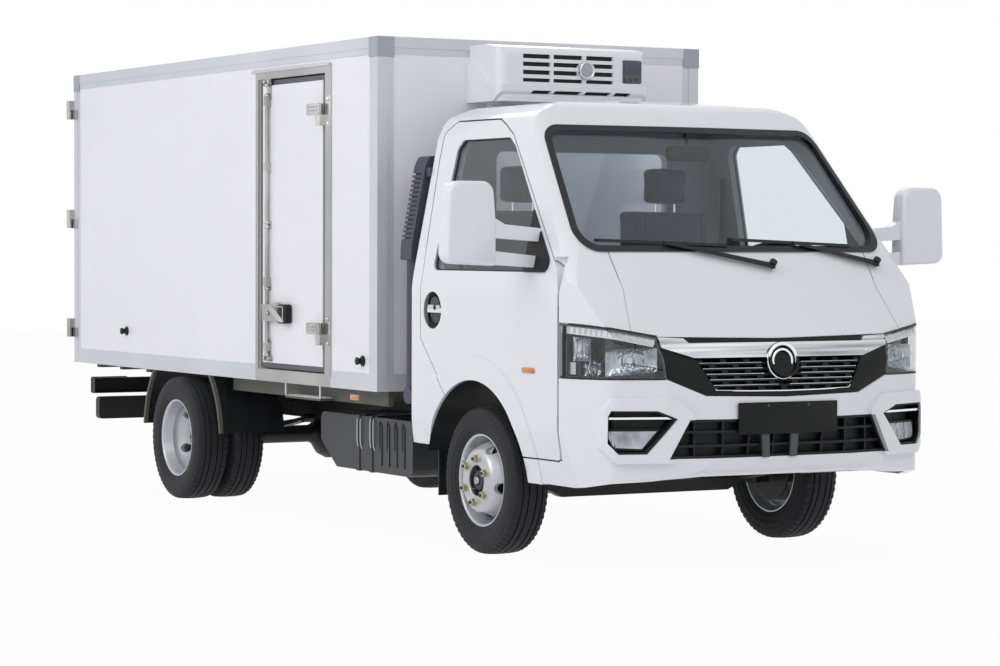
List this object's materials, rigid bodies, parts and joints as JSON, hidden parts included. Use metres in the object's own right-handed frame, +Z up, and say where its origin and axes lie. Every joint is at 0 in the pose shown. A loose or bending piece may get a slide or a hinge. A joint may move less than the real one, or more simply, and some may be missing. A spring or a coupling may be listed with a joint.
{
  "type": "refrigerated truck",
  "caption": "Light forward-control truck with an insulated box body, a cooling unit above the cab, twin rear wheels, a side door and rear doors.",
  "frame": {"origin": "on the ground, at the middle of the overall length and width", "axes": "+X to the truck's left side, +Y towards the rear doors, +Z up; the cab faces -Y"},
  "size_m": [2.6724, 6.1316, 2.3999],
  "materials": {
    "black_rubber": "matte",
    "cab_white": "gloss",
    "chassis_black": "satin",
    "clear_glass": "polished",
    "engine_iron": "rough",
    "gloss_black": "gloss",
    "inner_plastic": "matte",
    "lamp_glass": "polished",
    "panel_white": "satin",
    "rail_aluminium": "anodised",
    "seat_fabric": "woven",
    "stainless": "brushed",
    "subframe_olive": "satin",
    "tyre_rubber": "satin",
    "wheel_steel": "satin"
  },
  "bodies": {
    "chassis": {"air_intake": "inner_plastic", "battery_case": "chassis_black", "box_floor": "panel_white", "box_front_wall": "panel_white", "box_rear_frame": "rail_aluminium", "box_roof": "panel_white", "box_side_walls": "panel_white", "box_subframe": "subframe_olive", "box_trim": "rail_aluminium", "cab_back_panel": "cab_white", "cab_floor": "inner_plastic", "cab_front_panel": "cab_white", "cab_glass": "clear_glass", "cab_roof": "cab_white", "cab_side_frames": "cab_white", "dashboard": "inner_plastic", "engine": "engine_iron", "frame_crossmembers": "chassis_black", "frame_rails": "chassis_black", "front_axle_beam": "chassis_black", "front_bumper": "cab_white", "fuel_tank": "chassis_black", "grille": "gloss_black", "headlamps": "lamp_glass", "hinge_seats": "stainless", "leaf_springs": "chassis_black", "mudguards": "black_rubber", "propshaft": "chassis_black", "rear_axle": "chassis_black", "refrigeration_unit": "panel_white", "seats": "seat_fabric", "side_door_frame": "stainless", "underrun_bar": "chassis_black", "windscreen_seal": "black_rubber", "wipers": "inner_plastic"},
    "knuckle_right": {"knuckle_right": "chassis_black"},
    "knuckle_left": {"knuckle_left": "chassis_black"},
    "tie_rod": {"tie_rod": "chassis_black"},
    "front_right_wheel": {"tyre_front_right": "tyre_rubber", "wheel_front_right": "wheel_steel"},
    "front_left_wheel": {"tyre_front_left": "tyre_rubber", "wheel_front_left": "wheel_steel"},
    "rear_right_wheels": {"tyres_rear_right": "tyre_rubber", "wheels_rear_right": "wheel_steel"},
    "rear_left_wheels": {"tyres_rear_left": "tyre_rubber", "wheels_rear_left": "wheel_steel"},
    "cab_door_right": {"cab_door_right": "cab_white", "cab_door_glass_right": "clear_glass", "mirror_right": "cab_white"},
    "cab_door_left": {"cab_door_left": "cab_white", "cab_door_glass_left": "clear_glass", "mirror_left": "cab_white"},
    "side_door": {"side_door_leaf": "panel_white", "side_door_seal": "black_rubber", "side_door_hardware": "stainless"},
    "rear_door_right": {"rear_door_right": "panel_white", "rear_door_hardware_right": "stainless"},
    "rear_door_left": {"rear_door_left": "panel_white", "rear_door_hardware_left": "stainless"},
    "steering_wheel": {"steering_wheel": "inner_plastic"}
  },
  "joints": [
    {"name": "right_steer", "type": "hinge", "parent": "chassis", "child": "knuckle_right", "pos_m": [-0.618, -1.902, 0.337], "axis": [0, 0, 1], "range_deg": [-32, 32]},
    {"name": "left_steer", "type": "hinge", "parent": "chassis", "child": "knuckle_left", "pos_m": [0.618, -1.902, 0.337], "axis": [0, 0, 1], "range_deg": [-32, 32]},
    {"name": "tie_rod_joint", "type": "hinge", "parent": "knuckle_right", "child": "tie_rod", "pos_m": [-0.618, -1.752, 0.26], "axis": [0, 0, 1], "range_deg": [-32, 32]},
    {"name": "steering_wheel_turn", "type": "hinge", "parent": "chassis", "child": "steering_wheel", "pos_m": [0.4, -2.25234, 1.28462], "axis": [0, 0.6157, 0.788], "range_deg": [-448, 448]},
    {"name": "front_right_roll", "type": "hinge", "parent": "knuckle_right", "child": "front_right_wheel", "pos_m": [-0.79, -1.902, 0.337], "axis": [1, 0, 0], "continuous": true},
    {"name": "front_left_roll", "type": "hinge", "parent": "knuckle_left", "child": "front_left_wheel", "pos_m": [0.79, -1.902, 0.337], "axis": [1, 0, 0], "continuous": true},
    {"name": "rear_right_roll", "type": "hinge", "parent": "chassis", "child": "rear_right_wheels", "pos_m": [-0.7575, 1.406, 0.337], "axis": [1, 0, 0], "continuous": true},
    {"name": "rear_left_roll", "type": "hinge", "parent": "chassis", "child": "rear_left_wheels", "pos_m": [0.7575, 1.406, 0.337], "axis": [1, 0, 0], "continuous": true},
    {"name": "cab_door_right_swing", "type": "hinge", "parent": "chassis", "child": "cab_door_right", "pos_m": [-0.889, -2.61992, 0.8], "axis": [0, 0, 1], "range_deg": [0, 65]},
    {"name": "cab_door_left_swing", "type": "hinge", "parent": "chassis", "child": "cab_door_left", "pos_m": [0.889, -2.61992, 0.8], "axis": [0, 0, -1], "range_deg": [0, 65]},
    {"name": "side_door_swing", "type": "hinge", "parent": "chassis", "child": "side_door", "pos_m": [-0.942, -0.372, 1.5], "axis": [0, 0, 1], "range_deg": [0, 170]},
    {"name": "rear_door_right_swing", "type": "hinge", "parent": "chassis", "child": "rear_door_right", "pos_m": [-0.937, 3.035, 1.5], "axis": [0, 0, 1], "range_deg": [0, 270]},
    {"name": "rear_door_left_swing", "type": "hinge", "parent": "chassis", "child": "rear_door_left", "pos_m": [0.937, 3.035, 1.5], "axis": [0, 0, -1], "range_deg": [0, 270]}
  ],
  "couplings": [
    {"joint": "left_steer", "follows": "right_steer", "ratio": 1},
    {"joint": "tie_rod_joint", "follows": "right_steer", "ratio": -1},
    {"joint": "steering_wheel_turn", "follows": "right_steer", "ratio": 14}
  ]
}
